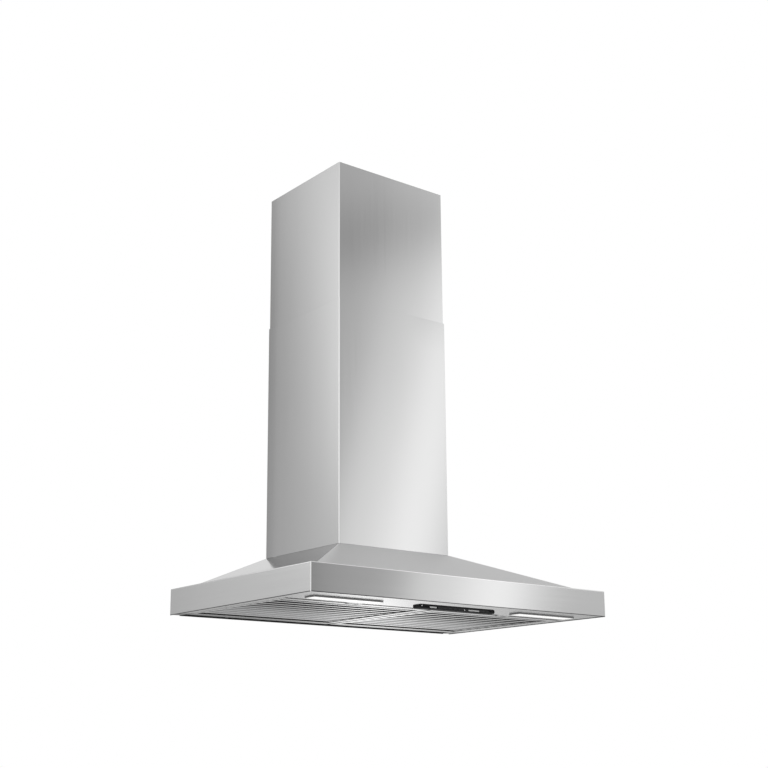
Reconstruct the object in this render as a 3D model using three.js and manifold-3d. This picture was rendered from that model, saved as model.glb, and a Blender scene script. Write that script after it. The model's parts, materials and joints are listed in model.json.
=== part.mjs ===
import * as THREE from 'three';
import { mergeVertices } from 'three/addons/utils/BufferGeometryUtils.js';
import { ConvexGeometry } from 'three/addons/geometries/ConvexGeometry.js';
import Module from 'manifold-3d';

// Wall-mounted chimney range hood. Millimetres, +X right, +Y towards the wall,
// +Z up. While modelling, y = 0 is the wall and z = 0 the rim's bottom edge; at
// the end all is lowered by ORIGIN_Z, so the row's origin is the wall mount on
// the rear panel.

// ---- driving dimensions ----
const W = 760;            // canopy width
const D = 500;            // canopy depth
const RIM = 54;           // height of the straight rim
const LEDGE = 26;         // flat ledge between the rim and the hipped roof
const CAN_T = 1.2;        // canopy sheet
const ORIGIN_Z = 30;      // wall mount height on the rear panel
const GAP = 0.3;          // clearance between neighbours

const ROOF_TOP = 137.5;   // top plate height
const LOW_W = 293.5;      // lower chimney cover, outside width
const LOW_D = 268.5;      // lower chimney cover, outside depth
const LOW_TOP = 663;      // its top edge, the visible seam
const UP_W = 290.5;       // upper chimney cover, outside width
const UP_D = 266;         // upper chimney cover, outside depth
const UP_BOT = 414;       // hidden bottom edge inside the lower cover
const UP_TOP = 974;       // top of the hood
const COVER_T = 1.0;      // cover sheet
const RETURN_W = 18;      // width of the covers' rear returns

const PAN_Z = 1.0;        // underside of the bottom pan
const PAN_T = 1.2;
const OPEN_X = 358.5;     // half width of the filter opening
const OPEN_Y0 = -391;     // front edge of the filter opening
const OPEN_Y1 = -22;      // rear edge of the filter opening
const REAR_Z = 4.2;       // underside of the pan's rear flange, stepped up

const FIL_IN = 3.5;       // filter, inner side |x|
const FIL_OUT = 357;      // filter, outer side |x|
const FIL_Y0 = -379;      // filter front
const FIL_Y1 = -26;       // filter rear
const FIL_TOP = 20;       // filter top
const SLOT_X0 = 17.5;     // slots start at this |x|
const SLOT_X1 = 348;      // slots end at this |x|
const SLOT_PITCH = 29.3;
const SLOT_N = 11;
const SLOT_Y0 = -352;     // centre of the front slot
const STRIP_W = 14.3;     // strip between two slots
const PIVOT_Y = -30;      // filter pivot
const PIVOT_Z = 7;

const LAMP_X0 = 177;      // light bar, |x| range
const LAMP_X1 = 337;
const LAMP_Y0 = -450;
const LAMP_Y1 = -420;
const PROUD = 1.7;        // how far the light bezels stand below z = 0
const BAR_X = 98;         // control bar half length
const BAR_Y0 = -461;      // its front face
const BAR_Y1 = -441;
const BAR_Z0 = -8;        // its underside

const BOX_X = 128;        // blower box
const BOX_Y0 = -256;
const BOX_Y1 = -12;
const BOX_Z0 = 137.8;
const BOX_Z1 = 400;
const AXIS_Y = -152;      // impeller axis
const AXIS_Z = 252;
const SCROLL_X = 66;
const IMP_R = 70;
const IMP_X = 52;
const COLLAR_Y = -118;    // duct collar centre
const COLLAR_R = 75;      // outside radius for a 150 mm duct
const COLLAR_TOP = 466;
const ROD_Z = 428;        // damper rod

const wasm = await Module();
wasm.setup();

// ---- helpers ----
function solid(geometry) {
  let g = geometry.clone();
  g.deleteAttribute('normal');
  g.deleteAttribute('uv');
  g = mergeVertices(g, 1e-4);
  const pos = g.attributes.position;
  const verts = new Float32Array(pos.count * 3);
  for (let i = 0; i < pos.count; i++) {
    verts[3 * i] = pos.getX(i);
    verts[3 * i + 1] = pos.getY(i);
    verts[3 * i + 2] = pos.getZ(i);
  }
  const index = new Uint32Array(g.index.array);
  return new wasm.Manifold(new wasm.Mesh({ numProp: 3, vertProperties: verts, triVerts: index }));
}

function unite(...list) {
  return list.reduce((a, b) => a.add(b));
}

function cut(base, ...list) {
  return list.reduce((a, b) => a.subtract(b), base);
}

function toGeometry(m) {
  const mesh = m.getMesh();
  const g = new THREE.BufferGeometry();
  g.setAttribute('position', new THREE.BufferAttribute(new Float32Array(mesh.vertProperties), 3));
  g.setIndex(new THREE.BufferAttribute(new Uint32Array(mesh.triVerts), 1));
  return g;
}

function boxGeo(x0, x1, y0, y1, z0, z1) {
  const g = new THREE.BoxGeometry(x1 - x0, y1 - y0, z1 - z0);
  g.translate((x0 + x1) / 2, (y0 + y1) / 2, (z0 + z1) / 2);
  return g;
}
const box = (...a) => solid(boxGeo(...a));

function hull(points) {
  return solid(new ConvexGeometry(points.map((p) => new THREE.Vector3(...p))));
}

const AXES = {
  // shape's first and second axis, and the direction of extrusion
  xy: new THREE.Matrix4().makeBasis(new THREE.Vector3(1, 0, 0), new THREE.Vector3(0, 1, 0), new THREE.Vector3(0, 0, 1)),
  yz: new THREE.Matrix4().makeBasis(new THREE.Vector3(0, 1, 0), new THREE.Vector3(0, 0, 1), new THREE.Vector3(1, 0, 0)),
  zx: new THREE.Matrix4().makeBasis(new THREE.Vector3(0, 0, 1), new THREE.Vector3(1, 0, 0), new THREE.Vector3(0, 1, 0)),
};

function prismGeo(plane, points, from, to) {
  const shape = new THREE.Shape(points.map((p) => new THREE.Vector2(...p)));
  const g = new THREE.ExtrudeGeometry(shape, { depth: to - from, bevelEnabled: false, steps: 1 });
  g.translate(0, 0, from);
  g.applyMatrix4(AXES[plane]);
  return g;
}
const prism = (...a) => solid(prismGeo(...a));

function circle(cu, cv, r, n, phase = 0) {
  const pts = [];
  for (let i = 0; i < n; i++) {
    const a = (2 * Math.PI * (i + phase)) / n;
    pts.push([cu + r * Math.cos(a), cv + r * Math.sin(a)]);
  }
  return pts;
}

// disc with its axis along Z, Y or X
const discZ = (cx, cy, r, z0, z1, n = 24) => prism('xy', circle(cx, cy, r, n, 0.5), z0, z1);
const discX = (cy, cz, r, x0, x1, n = 24) => prism('yz', circle(cy, cz, r, n, 0.5), x0, x1);
const discY = (cz, cx, r, y0, y1, n = 24) => prism('zx', circle(cz, cx, r, n, 0.5), y0, y1);

// cone frustum standing on Z, radius r0 at z0 and r1 at z1
function coneZ(cx, cy, r0, r1, z0, z1, n = 16) {
  const at = (r, z) => circle(cx, cy, r, n, 0.5).map(([x, y]) => [x, y, z]);
  return hull([...at(r0, z0), ...at(r1, z1)]);
}

// ring turned about a line parallel to X, from closed profile points [x, r]
function turnedX(profile, cy, cz, n) {
  const pts = profile.map(([x, r]) => new THREE.Vector2(r, x));
  pts.push(pts[0].clone());
  const g = new THREE.LatheGeometry(pts, n);
  // lathe axis Y -> X, its X -> Y, its Z -> Z with the hand kept
  const m = new THREE.Matrix4().makeBasis(new THREE.Vector3(0, 1, 0), new THREE.Vector3(1, 0, 0), new THREE.Vector3(0, 0, -1));
  g.applyMatrix4(m);
  g.translate(0, cy, cz);
  return g;
}

// ring turned about a line parallel to Z, from closed profile points [r, z]
function turnedZ(profile, cx, cy, n) {
  const pts = profile.map(([r, z]) => new THREE.Vector2(r, z));
  pts.push(pts[0].clone());
  const g = new THREE.LatheGeometry(pts, n);
  const m = new THREE.Matrix4().makeBasis(new THREE.Vector3(1, 0, 0), new THREE.Vector3(0, 0, 1), new THREE.Vector3(0, -1, 0));
  g.applyMatrix4(m);
  g.translate(cx, cy, 0);
  return g;
}

function mirrorX(geometry) {
  const g = geometry.clone();
  g.scale(-1, 1, 1);
  const idx = g.index.array;
  for (let i = 0; i < idx.length; i += 3) {
    const t = idx[i + 1];
    idx[i + 1] = idx[i + 2];
    idx[i + 2] = t;
  }
  return g;
}

function ensureSolid(geometry) {
  // a turned profile may come out inside-out, so the hand is set by the volume
  let g = geometry.clone();
  g.deleteAttribute('normal');
  g.deleteAttribute('uv');
  g = mergeVertices(g, 1e-4);
  const p = g.attributes.position;
  const ix = g.index.array;
  const keep = [];
  let vol = 0;
  const a = new THREE.Vector3();
  const b = new THREE.Vector3();
  const c = new THREE.Vector3();
  for (let i = 0; i < ix.length; i += 3) {
    if (ix[i] === ix[i + 1] || ix[i + 1] === ix[i + 2] || ix[i] === ix[i + 2]) continue;
    keep.push(ix[i], ix[i + 1], ix[i + 2]);
    a.fromBufferAttribute(p, ix[i]);
    b.fromBufferAttribute(p, ix[i + 1]);
    c.fromBufferAttribute(p, ix[i + 2]);
    vol += a.dot(b.clone().cross(c));
  }
  if (vol < 0) {
    for (let i = 0; i < keep.length; i += 3) {
      const t = keep[i + 1];
      keep[i + 1] = keep[i + 2];
      keep[i + 2] = t;
    }
  }
  g.setIndex(keep);
  return g;
}
const ringX = (...a) => solid(ensureSolid(turnedX(...a)));
const ringZ = (...a) => solid(ensureSolid(turnedZ(...a)));

function cableGeo(points, r, sides = 6, steps = 18) {
  const path = new THREE.CatmullRomCurve3(points.map((p) => new THREE.Vector3(...p)), false, 'centripetal');
  const shape = new THREE.Shape(circle(0, 0, r, sides).map((p) => new THREE.Vector2(...p)));
  return ensureSolid(new THREE.ExtrudeGeometry(shape, { steps, extrudePath: path, bevelEnabled: false }));
}

const group = new THREE.Group();
group.name = 'range_hood';

const FINISH = {
  steel: { color: 0xc9cacb, roughness: 0.32, metalness: 1 },
  steel_inner: { color: 0xb4b6b8, roughness: 0.45, metalness: 1 },
  zinc: { color: 0xb9bcbd, roughness: 0.5, metalness: 0.9 },
  alu: { color: 0xc4c7ca, roughness: 0.4, metalness: 1 },
  dark_plastic: { color: 0x26282a, roughness: 0.6, metalness: 0 },
  grey_plastic: { color: 0x8b8e91, roughness: 0.55, metalness: 0 },
  white_plastic: { color: 0xe9eaea, roughness: 0.45, metalness: 0 },
  glass: { color: 0x0b0b0c, roughness: 0.08, metalness: 0 },
  board: { color: 0x1f5a3c, roughness: 0.5, metalness: 0 },
  white_board: { color: 0xf1f1ee, roughness: 0.5, metalness: 0 },
  rubber: { color: 0x161616, roughness: 0.85, metalness: 0 },
  spring: { color: 0x9a9c9f, roughness: 0.35, metalness: 1 },
  black_metal: { color: 0x2b2c2e, roughness: 0.5, metalness: 0.6 },
};

function add(name, item, finish) {
  let g = item instanceof THREE.BufferGeometry ? item : toGeometry(item);
  if (!g.index) g = ensureSolid(g);
  g = g.clone();
  g.translate(0, 0, -ORIGIN_Z);
  g.computeVertexNormals();
  const mesh = new THREE.Mesh(g, new THREE.MeshStandardMaterial(FINISH[finish]));
  mesh.name = name;
  group.add(mesh);
}

// adds a right-hand item as it is and its mirror image as the left-hand one
function addPair(base, item, finish) {
  const g = item instanceof THREE.BufferGeometry ? ensureSolid(item) : toGeometry(item);
  add(`${base}_right`, g, finish);
  add(`${base}_left`, mirrorX(g), finish);
}

// ---- canopy ----
const EX = W / 2 - LEDGE;
const EY = -(D - LEDGE);
const TX = LOW_W / 2 + 0.25;
const TY = -(LOW_D + 0.3);
const kx = (EX - TX) / (ROOF_TOP - RIM);
const ky = (TY - EY) / (ROOF_TOP - RIM);
const inX = (z) => EX - (z - RIM) * kx - CAN_T * Math.sqrt(1 + kx * kx);
const inY = (z) => EY + (z - RIM) * ky + CAN_T * Math.sqrt(1 + ky * ky);

function frustum(x0, y0, z0, x1, y1, z1, back) {
  return hull([
    [-x0, y0, z0], [x0, y0, z0], [-x0, back, z0], [x0, back, z0],
    [-x1, y1, z1], [x1, y1, z1], [-x1, back, z1], [x1, back, z1],
  ]);
}

const ri = RIM - CAN_T;
const ti = ROOF_TOP - CAN_T;
let canopy = unite(
  box(-W / 2, W / 2, -D, 0, 0, RIM),
  frustum(EX, EY, RIM - 0.5, TX, TY, ROOF_TOP, 0),
);
canopy = cut(
  canopy,
  box(-W / 2 + CAN_T, W / 2 - CAN_T, -D + CAN_T, 5, -5, ri),
  frustum(inX(ri - 1), inY(ri - 1), ri - 1, inX(ti), inY(ti), ti, 5),
  box(-108, 108, -236, -32, ROOF_TOP - 5, ROOF_TOP + 5),
);
// inward tabs that take the pan's side screws
for (const s of [-1, 1]) {
  const a = s * (W / 2 - CAN_T + 0.4);
  const b = s * (W / 2 - CAN_T - 15);
  canopy = canopy.add(box(Math.min(a, b), Math.max(a, b), -216, -184, 2.5, 3.7));
  canopy = cut(canopy, coneZ(s * 369, -200, 2.3, 1.8, 2.4, 2.9), discZ(s * 369, -200, 1.8, 1, 6, 16));
}
// holes in the top plate: four for the blower box, two for the chimney cover
for (const [x, y] of [[-119, -70], [119, -70], [-119, -200], [119, -200], [-137.2, -134], [137.2, -134]]) {
  canopy = canopy.subtract(discZ(x, y, 2.4, ROOF_TOP - 5, ROOF_TOP + 5, 10));
}
add('canopy_shell', canopy, 'steel');

const pz = ri - GAP;
const pt = ti - GAP;
let rear = prism('zx', [
  [1.5, -W / 2 + CAN_T + GAP], [1.5, W / 2 - CAN_T - GAP], [pz, W / 2 - CAN_T - GAP],
  [pz, inX(pz) - GAP * 1.1], [pt, inX(pt) - GAP * 1.1], [pt, -inX(pt) + GAP * 1.1],
  [pz, -inX(pz) + GAP * 1.1], [pz, -W / 2 + CAN_T + GAP],
], -1.2, 0);
rear = unite(
  rear,
  box(-376, 376, -16, -0.6, REAR_Z + PAN_T + GAP, REAR_Z + PAN_T + GAP + 1.2),
  box(-140, 140, -16, -0.6, pt - 1.2, pt),
);
// two keyhole slots for the wall screws and two plain lower holes
for (const x of [-110, 110]) {
  rear = rear.subtract(discY(98, x, 5.5, -4, 3, 16));
  rear = rear.subtract(box(x - 2.6, x + 2.6, -4, 3, 98, 112));
}
for (const x of [-250, 250]) {
  rear = rear.subtract(discY(30, x, 2.6, -4, 3, 12));
  rear = rear.subtract(discZ(x, -9, 1.8, 1, 9, 10));
}
add('rear_panel', rear, 'zinc');

// soft edging under and in front of the rear panel's lower edge
add('rear_edge_seal', prism('yz', [
  [-3.2, 0], [-0.2, 0], [-0.2, 1.2], [-1.5, 1.2], [-1.5, REAR_Z - GAP], [-2.7, REAR_Z - GAP], [-3.2, REAR_Z - 0.8],
], -OPEN_X + 0.5, OPEN_X - 0.5), 'rubber');

// ---- bottom pan ----
let pan = box(-W / 2 + CAN_T + GAP, W / 2 - CAN_T - GAP, -D + CAN_T + GAP, -1.5, PAN_Z, PAN_Z + PAN_T);
const lip = 1.2;
pan = unite(pan, box(-OPEN_X - lip, OPEN_X + lip, OPEN_Y0 - lip, -1.5, PAN_Z + 0.5, 12));
pan = cut(
  pan,
  box(-OPEN_X, OPEN_X, OPEN_Y0, OPEN_Y1, -5, 30),
  box(-OPEN_X, OPEN_X, OPEN_Y1 - 1, 1, -5, REAR_Z),
  box(-OPEN_X - 5, OPEN_X + 5, OPEN_Y1 + lip, 1, REAR_Z + PAN_T, 30),
);
// centre hanger for both filters' inner pivots
pan = pan.add(box(-1.5, 1.5, PIVOT_Y - 7, OPEN_Y1 + 0.4, PAN_Z + 1.6, 12));
pan = pan.subtract(discX(PIVOT_Y, PIVOT_Z, 2.2, -OPEN_X - 5, OPEN_X + 5, 12));
for (const s of [-1, 1]) {
  const a = s * (LAMP_X0 + 2);
  const b = s * (LAMP_X1 - 2);
  pan = pan.subtract(box(Math.min(a, b), Math.max(a, b), LAMP_Y0 + 2, LAMP_Y1 - 2, -5, 10));
  pan = pan.subtract(coneZ(s * 369, -200, 3.85, 2.35, 0.87, 2.37));
  pan = pan.subtract(discZ(s * 250, -9, 2.4, -2, 6, 10));
}
pan = pan.subtract(box(-88, 88, BAR_Y0 + 4, BAR_Y1 - 4, -5, 10));
add('bottom_pan', pan, 'steel');

// ---- chimney covers ----
function coverSection(w, d, back, t, ret, r) {
  const h = w / 2;
  const pts = [];
  const arc = (cx, cy, rad, a0, a1) => {
    for (let i = 0; i <= 3; i++) {
      const a = ((a0 + ((a1 - a0) * i) / 3) * Math.PI) / 180;
      pts.push([cx + rad * Math.cos(a), cy + rad * Math.sin(a)]);
    }
  };
  pts.push([-h + ret, back], [-h, back]);
  arc(-h + r, -d + r, r, 180, 270);
  arc(h - r, -d + r, r, 270, 360);
  pts.push([h, back], [h - ret, back], [h - ret, back - t], [h - t, back - t]);
  arc(h - r, -d + r, r - t, 360, 270);
  arc(-h + r, -d + r, r - t, 270, 180);
  pts.push([-h + t, back - t], [-h + ret, back - t]);
  return pts;
}
let lower = prism('xy', coverSection(LOW_W, LOW_D, 0, COVER_T, RETURN_W, 1.8), ROOF_TOP + GAP, LOW_TOP);
for (const s of [-1, 1]) {
  const a = s * (LOW_W / 2 - 0.4);
  const b = s * (LOW_W / 2 - 16);
  lower = lower.add(box(Math.min(a, b), Math.max(a, b), -149, -119, ROOF_TOP + GAP, ROOF_TOP + GAP + 1));
  lower = lower.subtract(discZ(s * 137.2, -134, 1.8, ROOF_TOP - 1, ROOF_TOP + 4, 10));
}
add('lower_chimney_cover', lower, 'steel');

const upper = prism('xy', coverSection(UP_W, UP_D, -1.4, COVER_T, RETURN_W, 1.8), UP_BOT, UP_TOP);
add('upper_chimney_cover', upper, 'steel');

// hat-shaped bracket: feet on the wall between the returns, arms along the sides
const AX = UP_W / 2 - COVER_T - GAP;
let bracket = unite(
  box(-AX, AX, -9.2, -8, 930, 954),
  box(-100, -60, -1.2, 0, 930, 954), box(-100, -98.8, -9.2, 0, 930, 954), box(-61.2, -60, -9.2, 0, 930, 954),
  box(60, 100, -1.2, 0, 930, 954), box(98.8, 100, -9.2, 0, 930, 954), box(60, 61.2, -9.2, 0, 930, 954),
  box(-AX, -AX + 1.2, -78, -8, 930, 954),
  box(AX - 1.2, AX, -78, -8, 930, 954),
);
bracket = cut(
  bracket,
  box(-98.8, -61.2, -9.5, -7.5, 933, 951), box(61.2, 98.8, -9.5, -7.5, 933, 951),
  discY(942, -80, 2.6, -4, 3, 12), discY(942, 80, 2.6, -4, 3, 12),
);
add('cover_wall_bracket', bracket, 'zinc');

// ---- blower box ----
let bbox = cut(
  box(-BOX_X, BOX_X, BOX_Y0, BOX_Y1, BOX_Z0, BOX_Z1),
  box(-BOX_X + 1, BOX_X - 1, BOX_Y0 + 1, BOX_Y1 - 1, BOX_Z0 + 1, BOX_Z1 - 1),
  box(-110, 110, -238, -30, BOX_Z0 - 3, BOX_Z0 + 3),
  discZ(0, COLLAR_Y, 72, BOX_Z1 - 3, BOX_Z1 + 3, 32),
  discZ(-103, -134, 4.4, BOX_Z1 - 3, BOX_Z1 + 3, 12),
  discZ(104, -150, 6, BOX_Z1 - 3, BOX_Z1 + 3, 12),
  discZ(104, -182, 6, BOX_Z1 - 3, BOX_Z1 + 3, 12),
);
for (const [x, y] of [[-119, -70], [119, -70], [-119, -200], [119, -200]]) {
  bbox = bbox.subtract(discZ(x, y, 1.8, BOX_Z0 - 3, BOX_Z0 + 3, 10));
}
add('blower_box', bbox, 'zinc');

// scroll: spiral in the YZ plane, tight at the tongue, wide at the outlet
const R1 = 104;
const R0 = 79;
const TONGUE = 8;
function scrollOutline(inset, top) {
  const pts = [];
  const n = 16;
  const sweep = 282;
  for (let i = 0; i <= n; i++) {
    const f = i / n;
    const a = (-sweep * f * Math.PI) / 180;
    const r = R1 + (R0 - R1) * f - inset;
    pts.push([AXIS_Y + r * Math.cos(a), AXIS_Z + r * Math.sin(a)]);
  }
  pts.push([AXIS_Y + TONGUE + inset + 4, AXIS_Z + R0 + 6]);
  pts.push([AXIS_Y + TONGUE + inset, AXIS_Z + R0 + 14]);
  pts.push([AXIS_Y + TONGUE + inset, top]);
  pts.push([AXIS_Y + R1 - inset, top]);
  return pts.reverse();
}
const SC_TOP = BOX_Z1 - 1 - GAP;
let scroll = prism('yz', scrollOutline(0, SC_TOP), -SCROLL_X, SCROLL_X);
scroll = cut(
  scroll,
  prism('yz', scrollOutline(1.4, SC_TOP + 5), -SCROLL_X + 1.4, SCROLL_X - 1.4),
  discX(AXIS_Y, AXIS_Z, 58.6, -SCROLL_X - 5, SCROLL_X + 5, 28),
);
// mounting ears on the outlet
scroll = unite(
  scroll,
  box(SCROLL_X - 0.7, SCROLL_X + 14, -130, -60, SC_TOP - 2, SC_TOP),
  box(-SCROLL_X - 14, -SCROLL_X + 0.7, -130, -60, SC_TOP - 2, SC_TOP),
);
add('scroll_housing', scroll, 'dark_plastic');

const ringProfile = [
  [SCROLL_X + GAP, 58], [SCROLL_X + GAP, 69], [SCROLL_X + 2, 69], [SCROLL_X + 2, 60],
  [SCROLL_X + 0.6, 56.6], [SCROLL_X - 8, 55.4], [SCROLL_X - 8, 57], [SCROLL_X - 1.5, 58],
];
addPair('inlet_ring', ringX(ringProfile, AXIS_Y, AXIS_Z, 28), 'dark_plastic');

// impeller: end rings, centre disc and forward-leaning blades
let impeller = unite(
  cut(discX(AXIS_Y, AXIS_Z, IMP_R, -1.5, 1.5, 18), discX(AXIS_Y, AXIS_Z, 4.4, -5, 5, 10)),
  cut(discX(AXIS_Y, AXIS_Z, 11, -12, 1, 12), discX(AXIS_Y, AXIS_Z, 4.4, -15, 5, 10)),
);
for (const [x0, x1] of [[-IMP_X, -IMP_X + 3], [IMP_X - 3, IMP_X]]) {
  impeller = impeller.add(cut(discX(AXIS_Y, AXIS_Z, IMP_R, x0, x1, 18), discX(AXIS_Y, AXIS_Z, 57, x0 - 1, x1 + 1, 18)));
}
const BLADES = 18;
for (let i = 0; i < BLADES; i++) {
  const g = boxGeo(-IMP_X + 1, IMP_X - 1, 58.5, 68.2, -0.7, 0.7);
  g.translate(0, -63, 0);
  g.rotateX(0.55);
  g.translate(0, 63, 0);
  g.rotateX((2 * Math.PI * (i + 0.5)) / BLADES);
  g.translate(0, AXIS_Y, AXIS_Z);
  impeller = impeller.add(solid(g));
}
add('impeller', impeller, 'alu');

add('motor_shaft', discX(AXIS_Y, AXIS_Z, 4, -14, 93, 10), 'steel_inner');
const motorProfile = [
  [4, 4.4], [4, 14], [8, 16], [8, 36], [14, 42], [66, 42], [72, 38], [86, 36], [86, 4.4],
];
add('motor', ringX(motorProfile, AXIS_Y, AXIS_Z, 24), 'black_metal');

// three-legged motor bracket with its feet on the scroll's side wall
let mbr = discX(AXIS_Y, AXIS_Z, 32, 86 + GAP, 88.5, 18);
for (const deg of [90, 215, 325]) {
  const a = (deg * Math.PI) / 180;
  const arm = boxGeo(86 + GAP, 88.5, 20, 80, -8, 8);
  arm.rotateX(a);
  arm.translate(0, AXIS_Y, AXIS_Z);
  const leg = boxGeo(SCROLL_X + GAP, 88.5, 77.6, 80, -8, 8);
  leg.rotateX(a);
  leg.translate(0, AXIS_Y, AXIS_Z);
  mbr = unite(mbr, solid(arm), solid(leg));
}
mbr = mbr.subtract(discX(AXIS_Y, AXIS_Z, 7, 80, 95, 12));
add('motor_bracket', mbr, 'zinc');

// ---- duct collar and damper ----
let collar = cut(
  unite(
    box(-83, 83, -201, -35, BOX_Z1 + GAP, BOX_Z1 + GAP + 1.2),
    discZ(0, COLLAR_Y, COLLAR_R, BOX_Z1 + GAP, COLLAR_TOP, 32),
  ),
  discZ(0, COLLAR_Y, COLLAR_R - 1.2, BOX_Z1 - 2, COLLAR_TOP + 2, 32),
);
for (const y of [COLLAR_Y - COLLAR_R + 0.8, COLLAR_Y + COLLAR_R - 5.3]) {
  collar = collar.add(box(-5, 5, y, y + 4.5, ROD_Z - 8, ROD_Z - 4.2));
}
collar = collar.subtract(discX(COLLAR_Y, ROD_Z, 2.3, -COLLAR_R - 5, COLLAR_R + 5, 10));
add('duct_collar', collar, 'zinc');
add('damper_rod', discX(COLLAR_Y, ROD_Z, 1.9, -COLLAR_R - 1.5, COLLAR_R + 1.5, 10), 'steel_inner');

function flap(side, knuckles, others) {
  // side -1 is the front half, +1 the rear half
  const pts = [];
  const R = 72;
  for (let i = 0; i <= 14; i++) {
    const a = (Math.PI * i) / 14;
    pts.push([R * Math.cos(a), side * Math.max(0.5, R * Math.sin(a))]);
  }
  if (side < 0) pts.reverse();
  let f = prism('xy', pts.map(([x, y]) => [x, COLLAR_Y + y]), ROD_Z - 3.9, ROD_Z - 2.9);
  for (const x of others) {
    f = f.subtract(box(x - 6.5, x + 6.5, COLLAR_Y - 4.4, COLLAR_Y + 4.4, ROD_Z - 6, ROD_Z));
  }
  for (const x of knuckles) {
    f = f.add(discX(COLLAR_Y, ROD_Z, 3.6, x - 6, x + 6, 12));
  }
  return f.subtract(discX(COLLAR_Y, ROD_Z, 2.25, -80, 80, 10));
}
add('damper_flap_front', flap(-1, [-56, 34], [-34, 56]), 'alu');
add('damper_flap_rear', flap(1, [-34, 56], [-56, 34]), 'alu');

// ---- wiring box, capacitor ----
const JX0 = 84;
const JX1 = 126;
const JY0 = -200;
const JY1 = -104;
const JZ0 = BOX_Z1 + GAP;
const JZ1 = 438;
let jbox = cut(
  box(JX0, JX1, JY0, JY1, JZ0, JZ1),
  box(JX0 + 1.5, JX1 - 1.5, JY0 + 1.5, JY1 - 1.5, JZ0 + 1.5, JZ1 + 5),
  discZ(104, -150, 6, JZ0 - 3, JZ0 + 4, 12),
  discZ(104, -182, 6, JZ0 - 3, JZ0 + 4, 12),
  discY(420, 105, 8.4, JY1 - 4, JY1 + 4, 16),
);
add('junction_box', jbox, 'zinc');
add('junction_box_cover', unite(
  box(JX0, JX1, JY0, JY1, JZ1 + GAP, JZ1 + GAP + 1.2),
  cut(
    box(JX0 + 1.9, JX1 - 1.9, JY0 + 1.9, JY1 - 1.9, JZ1 - 4, JZ1 + GAP + 0.6),
    box(JX0 + 3.1, JX1 - 3.1, JY0 + 3.1, JY1 - 3.1, JZ1 - 6, JZ1 + GAP),
  ),
), 'zinc');
// gland for the supply cord, through the box's rear wall
add('cord_gland', cut(
  unite(
    discY(420, 105, 8, JY1 - 8, JY1 + 4, 16),
    discY(420, 105, 11, JY1 + GAP, JY1 + 6, 6),
    discY(420, 105, 9, JY1 + 5, JY1 + 14, 16),
  ),
  discY(420, 105, 4, JY1 - 12, JY1 + 20, 12),
), 'dark_plastic');

add('run_capacitor', unite(
  discZ(-103, -134, 16, BOX_Z1 + GAP, BOX_Z1 + 56, 24),
  discZ(-103, -134, 4, BOX_Z1 - 9, BOX_Z1 + 2, 12),
), 'white_plastic');
add('capacitor_nut', cut(
  discZ(-103, -134, 7, BOX_Z1 - 1 - GAP - 5, BOX_Z1 - 1 - GAP, 6),
  discZ(-103, -134, 4.3, BOX_Z1 - 12, BOX_Z1 + 2, 12),
), 'zinc');

// ---- lights ----
let lampHousing = cut(
  unite(
    box(LAMP_X0 + 2.3, LAMP_X1 - 2.3, LAMP_Y0 + 2.3, LAMP_Y1 - 2.3, 0, 20),
    box(LAMP_X0, LAMP_X1, LAMP_Y0, LAMP_Y1, -PROUD, PAN_Z - GAP),
  ),
  box(LAMP_X0 + 1.1, LAMP_X1 - 1.1, LAMP_Y0 + 1.1, LAMP_Y1 - 1.1, -5, -0.4),
  box(LAMP_X0 + 3.5, LAMP_X1 - 3.5, LAMP_Y0 + 3.5, LAMP_Y1 - 3.5, -5, 18.8),
  box(LAMP_X0 + 2, LAMP_X0 + 6, -444.5, -434.5, 12, 17),
);
addPair('light_housing', lampHousing, 'steel_inner');
addPair('light_board', box(LAMP_X0 + 4.2, LAMP_X1 - 4.2, LAMP_Y0 + 4.5, LAMP_Y1 - 4.5, 16.8, 18.4), 'white_board');
addPair('light_lens', unite(
  box(LAMP_X0 + 1.4, LAMP_X1 - 1.4, LAMP_Y0 + 1.4, LAMP_Y1 - 1.4, -1.9, -0.7),
  box(LAMP_X0 + 3.8, LAMP_X1 - 3.8, LAMP_Y0 + 3.8, LAMP_Y1 - 3.8, -0.8, 3),
), 'white_plastic');

// ---- control bar ----
const rounded = (x0, x1, y0, y1, r, n) => {
  const pts = [];
  const corners = [[x1 - r, y1 - r, 0], [x0 + r, y1 - r, 90], [x0 + r, y0 + r, 180], [x1 - r, y0 + r, 270]];
  for (const [cx, cy, start] of corners) {
    for (let i = 0; i <= n; i++) {
      const a = ((start + (90 * i) / n) * Math.PI) / 180;
      pts.push([cx + r * Math.cos(a), cy + r * Math.sin(a)]);
    }
  }
  return pts;
};
let bar = cut(
  prism('zx', rounded(BAR_Z0, PAN_Z - GAP, -BAR_X, BAR_X, 3.4, 5), BAR_Y0, BAR_Y1),
  box(-BAR_X + 6, BAR_X - 6, BAR_Y0 + 2, BAR_Y1 - 2, BAR_Z0 + 2, 5),
);
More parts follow.
